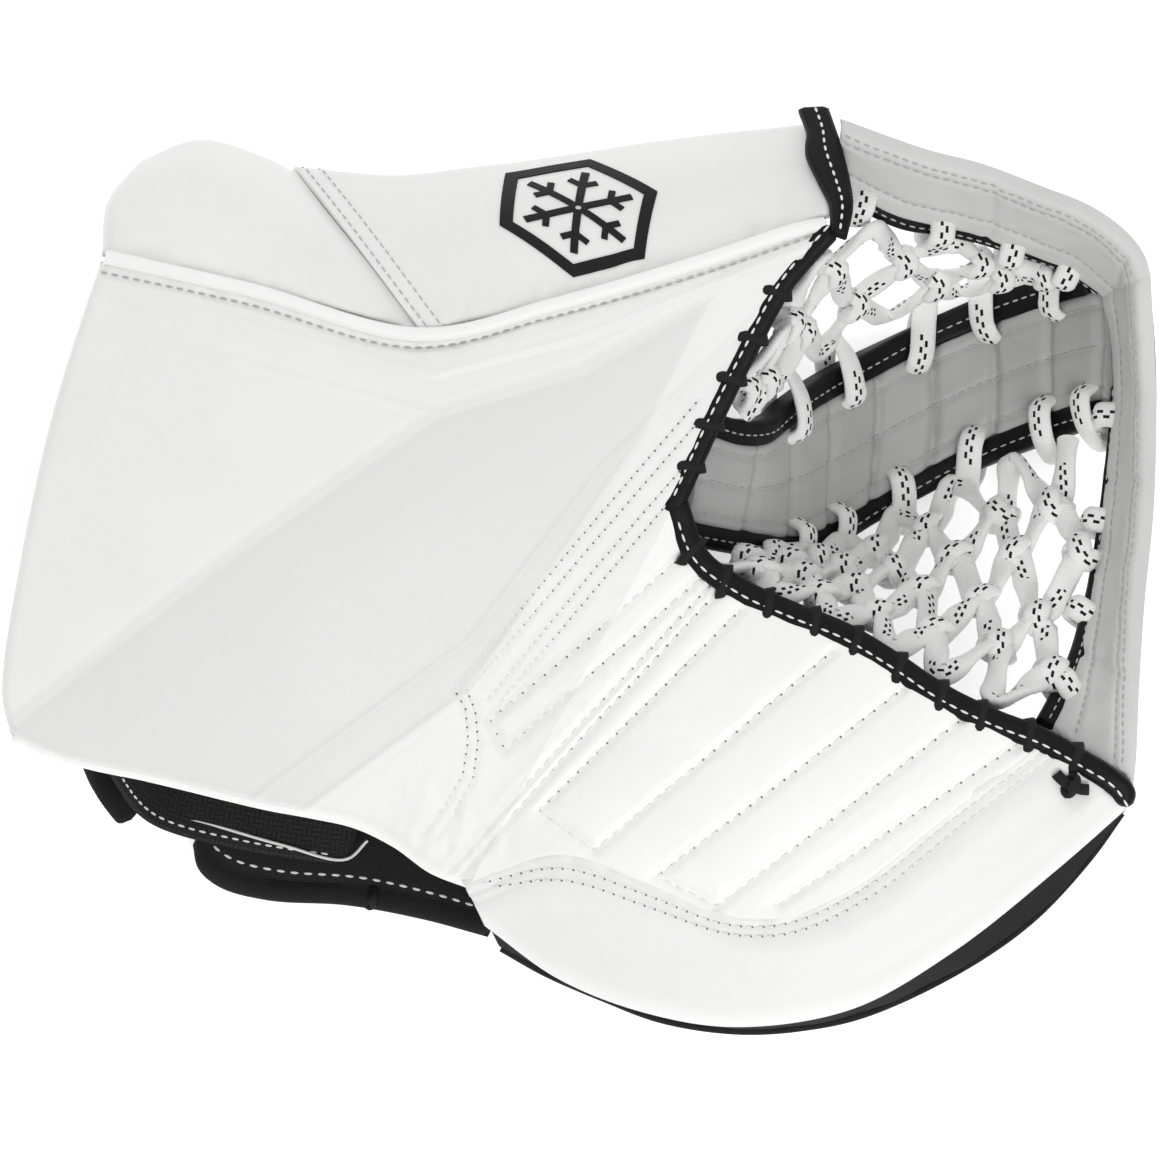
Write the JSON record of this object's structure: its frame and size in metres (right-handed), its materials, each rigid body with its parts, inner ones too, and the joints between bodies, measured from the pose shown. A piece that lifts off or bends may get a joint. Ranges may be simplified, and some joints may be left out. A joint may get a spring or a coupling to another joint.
{
  "type": "goalie catch glove",
  "caption": "Ice hockey catching glove lying on its back, palm up: padded cuff and thumb board, folding finger board, and a laced pocket hung from a padded T.",
  "frame": {"origin": "under the middle of the glove's outline, on the surface that it lies on", "axes": "+X from the cuff to the pocket, +Y from the little finger's side to the thumb's side, +Z from the back of the hand to the palm"},
  "size_m": [0.3845, 0.3056, 0.1285],
  "materials": {
    "white_leather": "satin coated synthetic leather",
    "black_leather": "satin coated synthetic leather",
    "emblem": null,
    "black_nylon": "woven nylon",
    "webbing": "ribbed webbing with hook tape",
    "foam": "closed-cell foam",
    "plastic_sheet": "polyethylene sheet",
    "white_lace": "waxed braided lace with black tracers",
    "black_lace": "waxed lace"
  },
  "bodies": {
    "cuff_thumb": {"cuff_thumb_board_cover": "white_leather", "cuff_thumb_board_foam": "foam", "cuff_thumb_board_liner": "black_nylon", "cuff_thumb_board_stiffener": "plastic_sheet", "cuff_side_wall_cover": "white_leather", "cuff_side_wall_foam": "foam", "cuff_side_wall_liner": "black_nylon", "thumb_side_wall_cover": "white_leather", "thumb_side_wall_foam": "foam", "thumb_side_wall_liner": "black_nylon", "side_wall_piping": "white_leather", "emblem_patch": "emblem", "cuff_edge_binding": "white_leather", "cuff_hem_binding": "white_leather", "thumb_edge_binding": "black_leather", "thumb_edge_lace": "black_lace", "thumb_tip_strap": "black_leather", "thumb_stall": "black_nylon", "backhand_pad_cover": "black_nylon", "backhand_pad_foam": "foam", "wrist_strap": "webbing"},
    "fingers": {"palm_cover": "white_leather", "palm_foam": "foam", "palm_liner": "black_nylon", "palm_stiffener": "plastic_sheet", "finger_rim_cover": "white_leather", "finger_rim_foam": "foam", "finger_back_shell": "black_nylon", "finger_back_foam": "foam", "finger_side_gusset": "black_nylon", "finger_tip_binding": "black_leather", "finger_edge_binding": "black_leather", "finger_edge_lace": "black_lace", "finger_lace_knot": "black_lace", "index_finger_stall": "black_nylon", "middle_finger_stall": "black_nylon", "ring_finger_stall": "black_nylon", "little_finger_stall": "black_nylon"},
    "pocket_web": {"t_stem_pad": "white_leather", "t_stem_backing": "black_leather", "t_upper_bar_pad": "white_leather", "t_upper_bar_backing": "black_leather", "t_lower_bar_pad": "white_leather", "t_lower_bar_backing": "black_leather", "t_stem_upper_binding": "black_leather", "t_stem_lower_binding": "black_leather", "t_upper_bar_binding": "black_leather", "t_lower_bar_binding": "black_leather", "upper_pocket_lace": "white_lace", "lower_pocket_lace": "white_lace"},
    "wrist_flap": {"wrist_strap_flap": "webbing"},
    "backhand_flap": {"backhand_strap_flap": "webbing"}
  },
  "joints": [
    {"name": "finger_close", "type": "hinge", "parent": "cuff_thumb", "child": "fingers", "pos_m": [-0.03679, -0.10253, 0.08582], "axis": [-0.4715, -0.8767, -0.0958], "range_deg": [0, 60]},
    {"name": "web_fold", "type": "hinge", "parent": "cuff_thumb", "child": "pocket_web", "pos_m": [-0.03679, -0.10253, 0.08582], "axis": [-0.4715, -0.8767, -0.0958], "range_deg": [0, 30]},
    {"name": "wrist_flap_open", "type": "hinge", "parent": "cuff_thumb", "child": "wrist_flap", "pos_m": [-0.1669, -0.05323, 0.06939], "axis": [-0.162, 0.822, -0.546], "range_deg": [0, 85]},
    {"name": "backhand_flap_open", "type": "hinge", "parent": "fingers", "child": "backhand_flap", "pos_m": [0.00886, -0.07514, 0.0283], "axis": [0, -1, 0], "range_deg": [0, 100]}
  ],
  "couplings": [
    {"joint": "web_fold", "follows": "finger_close", "ratio": 0.5}
  ]
}
